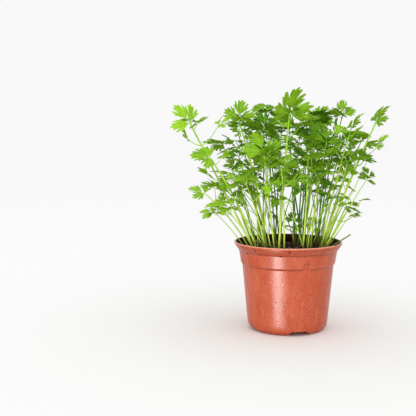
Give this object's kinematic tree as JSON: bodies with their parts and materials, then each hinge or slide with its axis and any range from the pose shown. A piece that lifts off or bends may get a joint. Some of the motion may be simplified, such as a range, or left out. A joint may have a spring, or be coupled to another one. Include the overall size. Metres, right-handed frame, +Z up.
{
  "type": "potted parsley",
  "caption": "Potted flat-leaf parsley: a bush of thin stems with toothed, divided leaves, standing in soil in a round tapered terracotta-coloured plastic nursery pot.",
  "frame": {"origin": "on the surface that the pot stands on, under the middle of the whole plant's width and depth; the pot's axis lies 11.1 mm towards +X and 2.1 mm towards -Y of it", "axes": "+Z up, -Y towards the front, +X to the right as seen from the front"},
  "size_m": [0.24, 0.184, 0.2709],
  "materials": {
    "pot_plastic": "satin",
    "potting_soil": "matte",
    "parsley_leaf": "satin",
    "parsley_stalk": "satin"
  },
  "bodies": {
    "root": {"pot": "pot_plastic", "soil": "potting_soil", "leafy_stem_01": "parsley_leaf", "leafy_stem_02": "parsley_leaf", "leafy_stem_03": "parsley_leaf", "leafy_stem_04": "parsley_leaf", "leafy_stem_05": "parsley_leaf", "leafy_stem_06": "parsley_leaf", "leafy_stem_07": "parsley_leaf", "leafy_stem_08": "parsley_leaf", "leafy_stem_09": "parsley_leaf", "leafy_stem_10": "parsley_leaf", "leafy_stem_11": "parsley_leaf", "leafy_stem_12": "parsley_leaf", "leafy_stem_13": "parsley_leaf", "leafy_stem_14": "parsley_leaf", "leafy_stem_15": "parsley_leaf", "leafy_stem_16": "parsley_leaf", "leafy_stem_17": "parsley_leaf", "leafy_stem_18": "parsley_leaf", "leafy_stem_19": "parsley_leaf", "leafy_stem_20": "parsley_leaf", "leafy_stem_21": "parsley_leaf", "leafy_stem_22": "parsley_leaf", "leafy_stem_23": "parsley_leaf", "leafy_stem_24": "parsley_leaf", "leafy_stem_25": "parsley_leaf", "leafy_stem_26": "parsley_leaf", "leafy_stem_27": "parsley_leaf", "leafy_stem_28": "parsley_leaf", "leafy_stem_29": "parsley_leaf", "leafy_stem_30": "parsley_leaf", "leafy_stem_31": "parsley_leaf", "leafy_stem_32": "parsley_leaf", "leafy_stem_33": "parsley_leaf", "leafy_stem_34": "parsley_leaf", "leafy_stem_35": "parsley_leaf", "bare_stem_1": "parsley_stalk", "bare_stem_2": "parsley_stalk", "bare_stem_3": "parsley_stalk", "bare_stem_4": "parsley_stalk", "bare_stem_5": "parsley_stalk"}
  },
  "joints": []
}
